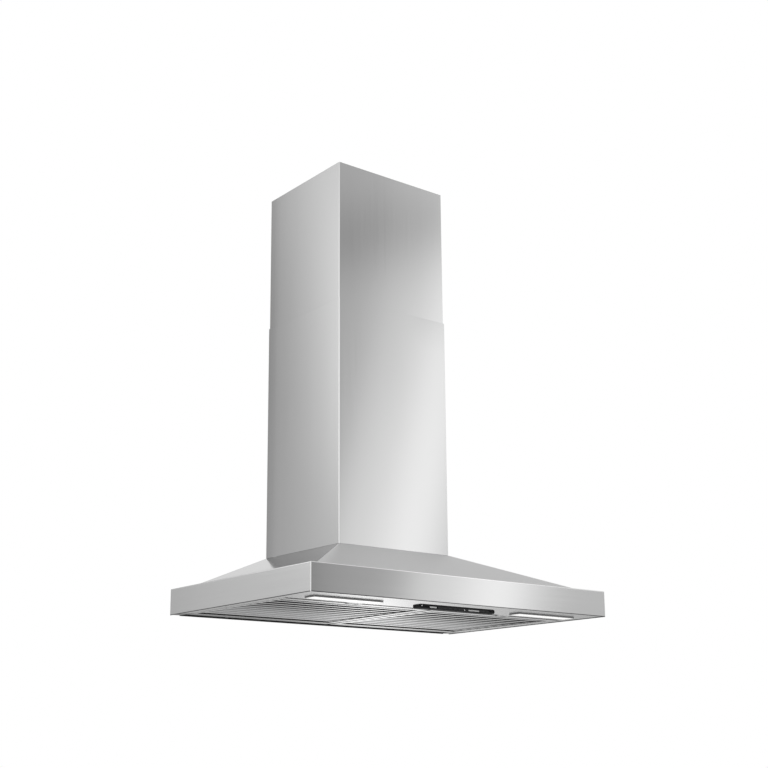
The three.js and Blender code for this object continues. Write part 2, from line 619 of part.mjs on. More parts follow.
// hooks that snap over the pan through its cut-out
for (const x of [-70, 0, 70]) {
  for (const s of [-1, 1]) {
    const y = (BAR_Y0 + BAR_Y1) / 2;
    const at = (a, b, z0, z1) => box(x - 5, x + 5, Math.min(y + s * a, y + s * b), Math.max(y + s * a, y + s * b), z0, z1);
    bar = unite(bar, at(4.4, 8.5, -1.5, -0.1), at(4.4, 5.6, -1.5, 3.6), at(4.4, 7.2, PAN_Z + PAN_T + GAP, 3.6));
  }
}
add('control_bar', bar, 'glass');
add('control_housing', cut(
  box(-97, 97, -465, -415, PAN_Z + PAN_T + GAP, 16),
  box(-95.5, 95.5, -463.5, -416.5, -3, 14.5),
  box(-99, -94, -434, -426, 7, 13),
  box(80.5, 89.5, -431.5, -422.5, 12, 18),
), 'dark_plastic');
add('control_board', box(-94, 94, -462, -418, 4.4, 6), 'board');
add('light_driver', cut(
  box(-174, -108, -456, -418, PAN_Z + PAN_T + GAP, 28),
  box(-176, -172, -440, -434, 12, 17),
  box(-110, -106, -434, -426, 7, 13),
  box(-111, -106, -425.6, -417, 7, 16),
), 'white_plastic');

// ---- filters ----
const slotC = (k) => SLOT_Y0 + k * SLOT_PITCH;
let filterFrame = cut(
  box(FIL_IN, FIL_OUT, FIL_Y0, FIL_Y1, PAN_Z, FIL_TOP),
  box(FIL_IN + 1, FIL_OUT - 1, FIL_Y0 + 1, FIL_Y1 - 1, PAN_Z + 1, FIL_TOP - 1),
  box(SLOT_X0, SLOT_X1, FIL_Y0 + 19, slotC(SLOT_N - 1) + 7.5, -2, PAN_Z + 1.5),
  box(FIL_IN + 8, FIL_OUT - 8, FIL_Y0 + 8, FIL_Y1 - 8, FIL_TOP - 1.5, FIL_TOP + 2),
);
filterFrame = filterFrame.add(box(SLOT_X0 + 0.5, SLOT_X1 - 0.5, FIL_Y0 + 18, FIL_Y0 + 19, PAN_Z + 0.5, 6.3));
filterFrame = filterFrame.subtract(box(178.5, 211.5, FIL_Y0 - 2, FIL_Y0 + 9, -2, 8));
filterFrame = unite(
  filterFrame,
  discX(PIVOT_Y, PIVOT_Z, 1.8, FIL_OUT - 0.5, OPEN_X + 2.4, 12),
  discX(PIVOT_Y, PIVOT_Z, 1.8, 0.4, FIL_IN + 0.5, 12),
);
addPair('filter_frame', filterFrame, 'steel');

function slat(yc, w, zPlate, zLeg, t, x0, x1) {
  const h = w / 2;
  const up = zLeg > zPlate;
  const p1 = up ? zPlate + t : zPlate - t;
  return prism('yz', [
    [yc - h, zPlate], [yc + h, zPlate], [yc + h, zLeg], [yc + h - t, zLeg],
    [yc + h - t, p1], [yc - h + t, p1], [yc - h + t, zLeg], [yc - h, zLeg],
  ], x0, x1);
}
const RX0 = FIL_IN + 1.6;
const RX1 = FIL_OUT - 1.6;
let lowerGrid = unite(
  box(RX0, RX0 + 1, slotC(0) + 6, slotC(SLOT_N - 1) - 6, 2.3, 6.5),
  box(RX1 - 1, RX1, slotC(0) + 6, slotC(SLOT_N - 1) - 6, 2.3, 6.5),
);
for (let k = 0; k < SLOT_N - 1; k++) {
  lowerGrid = lowerGrid.add(slat(slotC(k) + SLOT_PITCH / 2, STRIP_W, 2.3, 10, 1, RX0 + 0.5, RX1 - 0.5));
}
addPair('baffle_lower', lowerGrid, 'steel');
let upperGrid = unite(
  box(RX0, RX0 + 1, slotC(0) - 9, slotC(SLOT_N - 1) + 9, 12, 18),
  box(RX1 - 1, RX1, slotC(0) - 9, slotC(SLOT_N - 1) + 9, 12, 18),
);
for (let k = 0; k < SLOT_N; k++) {
  upperGrid = upperGrid.add(slat(slotC(k), 22, 17.5, 7, 1, RX0 + 0.5, RX1 - 0.5));
}
addPair('baffle_upper', upperGrid, 'steel_inner');

// latch: nose over the gap to the pan, block in the front channel, finger groove
let latch = unite(
  box(180, 210, OPEN_Y0 + GAP, -377, 1.2, 6.5),
  box(180, 210, -378, -370.5, 2.4, 6.5),
);
latch = cut(latch, box(184, 206, -387, -383, 0, 2.6));
addPair('filter_latch', latch, 'steel_inner');
const coil = [];
const TURNS = 4;
for (let i = 0; i <= TURNS * 6; i++) {
  const a = (2 * Math.PI * i) / 6;
  coil.push(new THREE.Vector3(195 + 1.35 * Math.cos(a), -370.1 + (8.6 * i) / (TURNS * 6), 4.4 + 1.35 * Math.sin(a)));
}
const coilShape = new THREE.Shape(circle(0, 0, 0.3, 3).map((p) => new THREE.Vector2(...p)));
addPair('latch_spring', ensureSolid(new THREE.ExtrudeGeometry(coilShape, {
  steps: TURNS * 6, extrudePath: new THREE.CatmullRomCurve3(coil), bevelEnabled: false,
})), 'spring');

// ---- screws ----
function screwUp(x, y, zHead, headR, headH, shankR, len) {
  // head below zHead, shank rising from it
  return unite(
    discZ(x, y, headR, zHead - headH, zHead, 12),
    discZ(x, y, shankR, zHead - 0.5, zHead + len, 10),
  ).subtract(unite(
    box(x - headR * 0.62, x + headR * 0.62, y - 0.5, y + 0.5, zHead - headH - 1, zHead - headH + 0.9),
    box(x - 0.5, x + 0.5, y - headR * 0.62, y + headR * 0.62, zHead - headH - 1, zHead - headH + 0.9),
  ));
}
function hexScrew(x, y, zHead, len) {
  return unite(discZ(x, y, 3.8, zHead - 2.6, zHead, 6), discZ(x, y, 1.5, zHead - 0.5, zHead + len, 8));
}
addPair('cover_screw', hexScrew(137.2, -134, ti - GAP, 8), 'zinc');
addPair('blower_screw_front', hexScrew(119, -200, ti - GAP, 8), 'zinc');
addPair('blower_screw_rear', hexScrew(119, -70, ti - GAP, 8), 'zinc');
// flush countersunk head with a cross recess
addPair('pan_screw_side', unite(
  coneZ(369, -200, 3.3, 1.5, PAN_Z, PAN_Z + 1.8),
  discZ(369, -200, 1.5, PAN_Z + 1.7, PAN_Z + 7, 16),
).subtract(unite(
  box(369 - 1.9, 369 + 1.9, -200.45, -199.55, 0, PAN_Z + 0.9),
  box(368.55, 369.45, -201.9, -198.1, 0, PAN_Z + 0.9),
)), 'steel_inner');
addPair('pan_screw_rear', screwUp(250, -9, REAR_Z - GAP, 3.6, 1.6, 1.5, 7), 'steel_inner');

// ---- cables ----
add('motor_cable', cableGeo([
  [86.6, -130, 288], [93, -130, 291], [99, -134, 306], [103, -146, 345], [104, -150, 385], [104, -150, 400], [103, -152, 413],
], 2.6, 5, 13), 'rubber');
add('control_cable', cableGeo([
  [103, -184, 414], [104, -182, 400], [105, -184, 385], [112, -205, 350], [113, -232, 300], [111, -238, 220], [104, -230, 160], [98, -228, 136],
  [97, -252, 124], [94, -300, 110], [90, -360, 86], [87, -408, 62], [85, -425, 40], [85, -427, 22], [85, -427, 7],
], 2.6, 5, 26), 'rubber');
add('light_cable_left', cableGeo([
  [-173.6, -437, 14.5], [-178, -438, 14.6], [-183, -441, 14.6], [-187.5, -442, 14.5],
], 1.6, 5, 4), 'rubber');
add('light_cable_right', cableGeo([
  [-110.2, -422.5, 10.6], [-106, -422.3, 10.8], [-103.5, -414, 14], [-101, -402, 20], [-80, -397, 21.5], [0, -396.5, 21.5], [90, -398, 21.5], [140, -415, 19], [165, -438, 15.5], [180, -442, 14.5], [187.5, -442, 14.5],
], 1.6, 5, 18), 'rubber');
add('driver_lead', cableGeo([
  [-109.4, -430, 10], [-104, -430, 10.4], [-100, -430, 10.2], [-94.8, -430, 10],
], 1.6, 5, 3), 'rubber');

export default group;
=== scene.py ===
import json
import math

import bmesh
import bpy
from mathutils import Matrix, Vector

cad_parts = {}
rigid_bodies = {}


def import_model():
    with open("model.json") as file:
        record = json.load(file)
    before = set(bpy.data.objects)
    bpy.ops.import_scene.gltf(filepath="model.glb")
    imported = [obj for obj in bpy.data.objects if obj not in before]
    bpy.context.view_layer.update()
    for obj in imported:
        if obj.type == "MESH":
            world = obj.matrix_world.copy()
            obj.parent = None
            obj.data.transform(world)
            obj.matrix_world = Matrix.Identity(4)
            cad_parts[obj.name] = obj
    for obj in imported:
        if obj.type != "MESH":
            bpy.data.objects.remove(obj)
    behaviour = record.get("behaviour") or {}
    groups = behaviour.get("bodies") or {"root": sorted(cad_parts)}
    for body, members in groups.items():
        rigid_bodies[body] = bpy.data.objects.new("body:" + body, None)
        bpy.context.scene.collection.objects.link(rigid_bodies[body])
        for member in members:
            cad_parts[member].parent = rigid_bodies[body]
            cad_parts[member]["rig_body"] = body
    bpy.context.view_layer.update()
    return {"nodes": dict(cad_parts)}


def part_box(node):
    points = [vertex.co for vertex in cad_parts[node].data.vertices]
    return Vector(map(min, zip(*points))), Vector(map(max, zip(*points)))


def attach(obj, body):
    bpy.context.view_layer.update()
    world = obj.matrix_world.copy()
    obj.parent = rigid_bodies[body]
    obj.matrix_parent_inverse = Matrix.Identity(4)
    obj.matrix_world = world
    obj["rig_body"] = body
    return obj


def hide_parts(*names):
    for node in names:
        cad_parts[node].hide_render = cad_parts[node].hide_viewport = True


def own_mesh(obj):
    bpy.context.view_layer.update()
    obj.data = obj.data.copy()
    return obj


# Wall-mounted chimney range hood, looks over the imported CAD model. Metres, row frame.

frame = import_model()
NODES = frame["nodes"]
BODY_OF = {n: NODES[n]["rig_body"] for n in NODES}
MM = 0.001
ZS = -0.030          # height of the rim's bottom edge in the row frame


# ------------------------------------------------------------------ camera
CAM_AT = Vector((-1.710126, -2.385205, -0.312730))
HEADING, PITCH, ROLL = math.radians(37.82595), math.radians(12.69109), math.radians(-0.26190)
fwd = Vector((math.sin(HEADING) * math.cos(PITCH), math.cos(HEADING) * math.cos(PITCH), math.sin(PITCH)))
right = Vector((math.cos(HEADING), -math.sin(HEADING), 0))
up = right.cross(fwd)
ax = math.cos(ROLL) * right + math.sin(ROLL) * up
ay = -math.sin(ROLL) * right + math.cos(ROLL) * up
cam_data = bpy.data.cameras.new("camera")
cam = bpy.data.objects.new("camera", cam_data)
bpy.context.scene.collection.objects.link(cam)
cam_data.sensor_fit = "HORIZONTAL"
cam_data.sensor_width = 36.0
cam_data.lens = 61.504
cam_data.shift_x = 0.01823
cam_data.shift_y = 0.09896
cam_data.clip_start, cam_data.clip_end = 0.05, 60.0
cam_data.dof.use_dof = False
m = Matrix((
    (ax.x, ay.x, -fwd.x, CAM_AT.x),
    (ax.y, ay.y, -fwd.y, CAM_AT.y),
    (ax.z, ay.z, -fwd.z, CAM_AT.z),
    (0, 0, 0, 1),
))
cam.matrix_world = m
bpy.context.scene.camera = cam


# ------------------------------------------------------------------ node graph helper
class Graph:
    """Short calls for building a material's node tree."""

    def __init__(self, tree):
        self.tree = tree
        self._coord = None

    def new(self, kind, **props):
        n = self.tree.nodes.new(kind)
        for k, v in props.items():
            setattr(n, k, v)
        return n

    def link(self, a, b):
        self.tree.links.new(a, b)

    def put(self, socket, value):
        if hasattr(value, "is_output"):
            self.link(value, socket)
        else:
            socket.default_value = value

    def coord(self, which="Object"):
        if self._coord is None:
            self._coord = self.new("ShaderNodeTexCoord")
        return self._coord.outputs[which]

    def vmath(self, op, a, b=None):
        n = self.new("ShaderNodeVectorMath", operation=op)
        self.put(n.inputs[0], a)
        if b is not None:
            self.put(n.inputs[1], b)
        return n.outputs["Value"] if op in ("DOT_PRODUCT", "LENGTH", "DISTANCE") else n.outputs["Vector"]

    def math(self, op, a, b=None, c=None, clamp=False):
        n = self.new("ShaderNodeMath", operation=op)
        n.use_clamp = clamp
        self.put(n.inputs[0], a)
        if b is not None:
            self.put(n.inputs[1], b)
        if c is not None:
            self.put(n.inputs[2], c)
        return n.outputs[0]

    def split(self, vec):
        n = self.new("ShaderNodeSeparateXYZ")
        self.put(n.inputs[0], vec)
        return n.outputs

    def join(self, x, y, z):
        n = self.new("ShaderNodeCombineXYZ")
        for s, v in zip(n.inputs, (x, y, z)):
            self.put(s, v)
        return n.outputs[0]

    def noise(self, vec, scale=1.0, detail=2.0, rough=0.5, distort=0.0):
        n = self.new("ShaderNodeTexNoise", noise_dimensions="3D")
        self.put(n.inputs["Vector"], vec)
        n.inputs["Scale"].default_value = scale
        n.inputs["Detail"].default_value = detail
        n.inputs["Roughness"].default_value = rough
        n.inputs["Distortion"].default_value = distort
        return n.outputs[0]

    def voronoi(self, vec, scale=1.0, feature="F1", out="Distance", randomness=1.0):
        n = self.new("ShaderNodeTexVoronoi", feature=feature)
        self.put(n.inputs["Vector"], vec)
        n.inputs["Scale"].default_value = scale
        n.inputs["Randomness"].default_value = randomness
        return n.outputs[out]

    def ramp(self, fac, lo, hi, to_lo=0.0, to_hi=1.0, smooth=False):
        n = self.new("ShaderNodeMapRange")
        n.clamp = True
        if smooth:
            n.interpolation_type = "SMOOTHSTEP"
        self.put(n.inputs["Value"], fac)
        n.inputs["From Min"].default_value = lo
        n.inputs["From Max"].default_value = hi
        self.put(n.inputs["To Min"], to_lo)
        self.put(n.inputs["To Max"], to_hi)
        return n.outputs[0]

    def mix(self, fac, a, b, blend="MIX"):
        n = self.new("ShaderNodeMix", data_type="RGBA", blend_type=blend)
        self.put(n.inputs[0], fac)
        self.put(n.inputs[6], a)
        self.put(n.inputs[7], b)
        return n.outputs[2]

    def mixf(self, fac, a, b):
        n = self.new("ShaderNodeMix", data_type="FLOAT")
        self.put(n.inputs[0], fac)
        self.put(n.inputs[2], a)
        self.put(n.inputs[3], b)
        return n.outputs[0]

    def bump(self, height, strength, distance, normal=None):
        n = self.new("ShaderNodeBump")
        n.inputs["Strength"].default_value = strength
        n.inputs["Distance"].default_value = distance
        self.put(n.inputs["Height"], height)
        if normal is not None:
            self.put(n.inputs["Normal"], normal)
        return n.outputs[0]


def rgb(r, g=None, b=None):
    return (r, r if g is None else g, r if b is None else b, 1.0)


def material(name, **sockets):
    mat = bpy.data.materials.new(name)
    mat.use_nodes = True
    tree = mat.node_tree
    tree.nodes.clear()
    out = tree.nodes.new("ShaderNodeOutputMaterial")
    bsdf = tree.nodes.new("ShaderNodeBsdfPrincipled")
    tree.links.new(bsdf.outputs[0], out.inputs[0])
    for k, v in sockets.items():
        bsdf.inputs[k.replace("_", " ")].default_value = v
    return mat, Graph(tree), bsdf


# ------------------------------------------------------------------ metals
def brushed_steel(name, base, rough, grain, fine=1.0, soil=1.0, stretch=0.0, gap_shade=0.0, wall_shade=None,
                  slot_shade=None, seam_shade=None):
    """Brushed stainless sheet. grain: 'up' for vertical lines, 'level' for lines that run level round the canopy,
    'x' or 'y' for lines along that axis. stretch: how much more a highlight spreads across level x lines.
    gap_shade: height up to which the sheet's bottom edge is darkened, a painted shadow line along the rim's lower edge.
    wall: (y, y, tone) painted shade, darker close to the wall.
    lip: (top edge height, depth, amount) painted shade, darker just under a sheet's top edge, more so to the right.
    sooty: tone at the front, where the painted shade is darkest; it clears towards the rear."""
    mat, g, bsdf = material(name, Metallic=1.0)
    if stretch:
        bsdf.inputs["Anisotropic"].default_value = stretch
        g.link(g.vmath("NORMALIZE", g.join(0.0, 1.0, 0.001)), bsdf.inputs["Tangent"])
    p = g.coord("Object")
    x, y, z = g.split(p)
    if grain == "up":
        along, across = z, g.join(x, y, 0.0)
    elif grain == "x":
        along, across = x, g.join(y, z, 0.0)
    elif grain == "y":
        along, across = y, g.join(x, z, 0.0)
    else:
        n = g.split(g.coord("Normal"))
        side = g.math("GREATER_THAN", g.math("ABSOLUTE", n[0]), g.math("ABSOLUTE", n[1]))
        along = g.mixf(side, x, y)
        across = g.join(g.mixf(side, y, x), z, 0.0)
    ac = g.split(across)
    # three widths of drawn line: wide soft streaks, lines, hair-fine scratches
    wide = g.noise(g.join(g.math("MULTIPLY", ac[0], 170.0), g.math("MULTIPLY", ac[1], 170.0), g.math("MULTIPLY", along, 1.6)), 1.0, 2.0, 0.55)
    line = g.noise(g.join(g.math("MULTIPLY", ac[0], 900.0), g.math("MULTIPLY", ac[1], 900.0), g.math("MULTIPLY", along, 9.0)), 1.0, 3.0, 0.6)
    hair = g.noise(g.join(g.math("MULTIPLY", ac[0], 4200.0), g.math("MULTIPLY", ac[1], 4200.0), g.math("MULTIPLY", along, 26.0)), 1.0, 2.0, 0.6)
    # slow changes of the sheet's own tone, and faint handling marks
    cloud = g.noise(p, 5.5, 3.0, 0.5)
    hand = g.ramp(g.noise(p, 26.0, 4.0, 0.62, 0.6), 0.62, 0.78, 0.0, 1.0, smooth=True)
    tone = g.math("ADD", g.ramp(wide, 0.25, 0.75, -0.011 * fine, 0.011 * fine), g.ramp(line, 0.25, 0.75, -0.020 * fine, 0.020 * fine))
    tone = g.math("ADD", tone, g.ramp(hair, 0.25, 0.75, -0.016 * fine, 0.016 * fine))
    tone = g.math("ADD", tone, g.ramp(cloud, 0.3, 0.7, -0.006, 0.006))
    tone = g.math("ADD", tone, g.math("MULTIPLY", hand, -0.006 * soil))
    lift = g.math("ADD", tone, 1.0)
    # painted shade: the bottom edge is darkened into a shadow line under the rim
    if gap_shade:
        lift = g.math("MULTIPLY", lift, g.ramp(z, ZS + gap_shade * 0.7, ZS + gap_shade * 1.3, 0.12, 1.0))
    # painted shade: darker close to the wall
    if wall_shade:
        lift = g.math("MULTIPLY", lift, g.ramp(y, wall_shade[0], wall_shade[1], 1.0, wall_shade[2], smooth=True))
    # painted shade: darker just under the top edge, more so to the right
    if seam_shade:
        seam_shade_mask = g.math("MULTIPLY", g.ramp(z, ZS + seam_shade[0] - seam_shade[1], ZS + seam_shade[0]), g.ramp(x, 0.02, 0.11, 0.0, 1.0, smooth=True))
        lift = g.math("MULTIPLY", lift, g.math("ADD", g.math("MULTIPLY", seam_shade_mask, -seam_shade[2]), 1.0))
    # painted shade: darker at the front, clearing towards the rear
    if slot_shade is not None:
        lift = g.math("MULTIPLY", lift, g.ramp(y, -0.31, -0.12, slot_shade, 1.0, smooth=True))
    col = g.vmath("SCALE", rgb(*base)[:3])
    g.put(col.node.inputs["Scale"], lift)
    g.link(col, bsdf.inputs["Base Color"])
    r = g.math("ADD", g.ramp(line, 0.25, 0.75, rough - 0.022 * fine, rough + 0.022 * fine), g.ramp(wide, 0.25, 0.75, -0.012, 0.012))
    r = g.math("ADD", r, g.math("MULTIPLY", hand, 0.018 * soil))
    g.link(g.math("ADD", r, g.ramp(cloud, 0.3, 0.7, -0.008, 0.008)), bsdf.inputs["Roughness"])
    h = g.math("ADD", g.math("MULTIPLY", line, 0.6), g.math("MULTIPLY", hair, 0.4))
    g.link(g.bump(h, 0.10 * fine, 0.00002), bsdf.inputs["Normal"])
    return mat


def spangle(name, base=(0.50, 0.512, 0.52), rough=0.36, size=95.0):
    mat, g, bsdf = material(name, Metallic=0.9)
    p = g.coord("Object")
    cell = g.split(g.voronoi(p, size, "F1", "Color"))
    fine = g.noise(p, 700.0, 3.0, 0.6)
    cloud = g.noise(p, 9.0, 3.0, 0.55)
    dull = g.ramp(g.noise(p, 38.0, 5.0, 0.65, 0.8), 0.58, 0.74, 0.0, 1.0, smooth=True)
    tone = g.math("ADD", g.ramp(cell[0], 0.0, 1.0, -0.085, 0.085), g.ramp(fine, 0.3, 0.7, -0.03, 0.03))
    tone = g.math("ADD", tone, g.ramp(cloud, 0.3, 0.7, -0.035, 0.035))
    tone = g.math("ADD", tone, g.math("MULTIPLY", dull, -0.09))
    col = g.vmath("SCALE", base)
    g.put(col.node.inputs["Scale"], g.math("ADD", tone, 1.0))
    g.link(col, bsdf.inputs["Base Color"])
    r = g.math("ADD", g.ramp(cell[1], 0.0, 1.0, rough - 0.05, rough + 0.06), g.math("MULTIPLY", dull, 0.16))
    g.link(g.math("ADD", r, g.ramp(fine, 0.3, 0.7, -0.03, 0.03)), bsdf.inputs["Roughness"])
    g.link(g.bump(g.math("ADD", g.math("MULTIPLY", fine, 0.4), g.math("MULTIPLY", cell[2], 0.3)), 0.16, 0.00006), bsdf.inputs["Normal"])
    return mat


def cast_metal(name, base, rough, metallic=1.0, grit=900.0, depth=0.25, spin=None):
    """Die-cast, turned or painted metal with fine grit. spin=(axis, y, z) adds turned rings about a level axis."""
    mat, g, bsdf = material(name, Metallic=metallic)
    p = g.coord("Object")
    fine = g.noise(p, grit, 3.0, 0.6)
    cloud = g.noise(p, 22.0, 3.0, 0.55)
    rub = g.ramp(g.noise(p, 90.0, 4.0, 0.65, 1.0), 0.60, 0.74, 0.0, 1.0, smooth=True)
    tone = g.math("ADD", g.ramp(fine, 0.3, 0.7, -0.05, 0.05), g.ramp(cloud, 0.3, 0.7, -0.05, 0.05))
    h = fine
    if spin:
        c = g.split(g.vmath("SUBTRACT", p, spin))
        rad = g.math("SQRT", g.math("ADD", g.math("MULTIPLY", c[1], c[1]), g.math("MULTIPLY", c[2], c[2])))
        rings = g.noise(g.join(g.math("MULTIPLY", rad, 1800.0), g.math("MULTIPLY", c[0], 1800.0), 0.0), 1.0, 2.0, 0.6)
        tone = g.math("ADD", tone, g.ramp(rings, 0.3, 0.7, -0.05, 0.05))
        h = g.math("ADD", fine, rings)
    col = g.vmath("SCALE", base)
    g.put(col.node.inputs["Scale"], g.math("ADD", tone, 1.0))
    g.link(col, bsdf.inputs["Base Color"])
    r = g.math("ADD", g.ramp(fine, 0.3, 0.7, rough - 0.04, rough + 0.05), g.math("MULTIPLY", rub, -0.06))
    g.link(r, bsdf.inputs["Roughness"])
    g.link(g.bump(h, depth, 0.00005), bsdf.inputs["Normal"])
    return mat


# ------------------------------------------------------------------ plastics, glass, boards
def plastic(name, base, rough, grit=1400.0, depth=0.3, vary=0.06, spec=0.5):
    mat, g, bsdf = material(name)
    bsdf.inputs["Specular IOR Level"].default_value = spec
    p = g.coord("Object")
    fine = g.voronoi(p, grit, "SMOOTH_F1")
    cloud = g.noise(p, 18.0, 3.0, 0.55)
    dust = g.ramp(g.noise(p, 120.0, 5.0, 0.7, 0.5), 0.60, 0.78, 0.0, 1.0, smooth=True)
    tone = g.math("ADD", g.ramp(cloud, 0.3, 0.7, -vary, vary), g.ramp(fine, 0.1, 0.7, -vary * 0.4, vary * 0.4))
    col = g.vmath("SCALE", base)
    g.put(col.node.inputs["Scale"], g.math("ADD", tone, 1.0))
    g.link(g.mix(g.math("MULTIPLY", dust, 0.05), col, rgb(0.42, 0.41, 0.39)), bsdf.inputs["Base Color"])
    g.link(g.math("ADD", g.ramp(fine, 0.1, 0.7, rough - 0.04, rough + 0.05), g.math("MULTIPLY", dust, 0.08)), bsdf.inputs["Roughness"])
    g.link(g.bump(fine, depth, 0.00006), bsdf.inputs["Normal"])
    return mat


def circuit_board(name, base, track, pad):
    """Lacquered board with straight copper tracks under the mask and rows of pads."""
    mat, g, bsdf = material(name)
    p = g.coord("Object")
    x, y, z = g.split(p)
    weave = g.noise(g.join(g.math("MULTIPLY", x, 2600.0), g.math("MULTIPLY", y, 2600.0), 0.0), 1.0, 1.0)
    cell = g.voronoi(g.join(g.math("MULTIPLY", x, 60.0), g.math("MULTIPLY", y, 420.0), 0.0), 1.0, "F1", "Color", 0.35)
    run = g.math("GREATER_THAN", g.split(cell)[0], 0.55)
    d = g.voronoi(g.join(g.math("MULTIPLY", x, 260.0), g.math("MULTIPLY", y, 260.0), 0.0), 1.0, "F1", "Distance", 0.0)
    chosen = g.math("GREATER_THAN", g.noise(p, 95.0, 1.0), 0.56)
    dot = g.math("MULTIPLY", g.math("LESS_THAN", d, 0.22), chosen)
    col = g.mix(g.math("MULTIPLY", run, 0.55), rgb(*base), rgb(*track))
    col = g.mix(dot, col, rgb(*pad))
    g.link(g.mix(g.ramp(weave, 0.3, 0.7, 0.0, 0.10), col, rgb(0.75, 0.78, 0.72)), bsdf.inputs["Base Color"])
    g.link(g.ramp(weave, 0.3, 0.7, 0.30, 0.42), bsdf.inputs["Roughness"])
    g.link(g.bump(g.math("ADD", run, g.math("MULTIPLY", dot, -0.6)), 0.25, 0.00005), bsdf.inputs["Normal"])
    return mat


def black_glass(name, ior, rough):
    """Glossy black bar: faint dust and wipe marks in the gloss."""
    mat, g, bsdf = material(name)
    bsdf.inputs["IOR"].default_value = ior
    p = g.coord("Object")
    wipe = g.noise(g.vmath("MULTIPLY", p, (16.0, 70.0, 30.0)), 1.0, 3.0, 0.55, 0.7)
    speck = g.ramp(g.noise(p, 900.0, 2.0, 0.6), 0.66, 0.76, 0.0, 1.0, smooth=True)
    print_ = g.noise(p, 240.0, 3.0, 0.6)
    col = g.mix(g.ramp(wipe, 0.35, 0.7, 0.0, 1.0), rgb(0.0095, 0.0097, 0.0105), rgb(0.014, 0.0143, 0.0155))
    col = g.mix(g.math("MULTIPLY", speck, 0.35), col, rgb(0.10, 0.10, 0.10))
    g.link(g.mix(g.ramp(print_, 0.4, 0.7, 0.0, 0.25), col, rgb(0.020, 0.020, 0.021)), bsdf.inputs["Base Color"])
    g.link(g.math("ADD", g.ramp(wipe, 0.35, 0.7, rough, rough + 0.05), g.math("MULTIPLY", speck, 0.25)), bsdf.inputs["Roughness"])
    g.link(g.bump(wipe, 0.05, 0.0001), bsdf.inputs["Normal"])
    return mat


def lamp_lens(name, glow):
    """Satin white diffuser with a soft row of light points behind it."""
    mat, g, bsdf = material(name)
    bsdf.inputs["Transmission Weight"].default_value = 0.0
    p = g.coord("Object")
    x, y, z = g.split(p)
    satin = g.noise(p, 1500.0, 2.0, 0.6)
    cloud = g.noise(p, 30.0, 2.0)
    # light points every 17 mm along the bar, softened by the diffuser
    wave = g.math("COSINE", g.math("MULTIPLY", g.math("ADD", g.math("ABSOLUTE", x), -0.1955), 2 * math.pi / 0.017))
    spot = g.ramp(wave, -1.0, 1.0, 0.95, 1.03)
    g.link(g.mix(g.ramp(cloud, 0.3, 0.7), rgb(0.80, 0.80, 0.79), rgb(0.86, 0.86, 0.855)), bsdf.inputs["Base Color"])
    g.link(g.ramp(satin, 0.3, 0.7, 0.30, 0.42), bsdf.inputs["Roughness"])
    g.link(g.bump(satin, 0.15, 0.00004), bsdf.inputs["Normal"])
    ecol = g.vmath("SCALE", (1.0, 0.995, 0.98))
    g.put(ecol.node.inputs["Scale"], g.math("MULTIPLY", spot, g.ramp(cloud, 0.3, 0.7, 0.985, 1.015)))
    g.link(ecol, bsdf.inputs["Emission Color"])
    bsdf.inputs["Emission Strength"].default_value = glow
    return mat


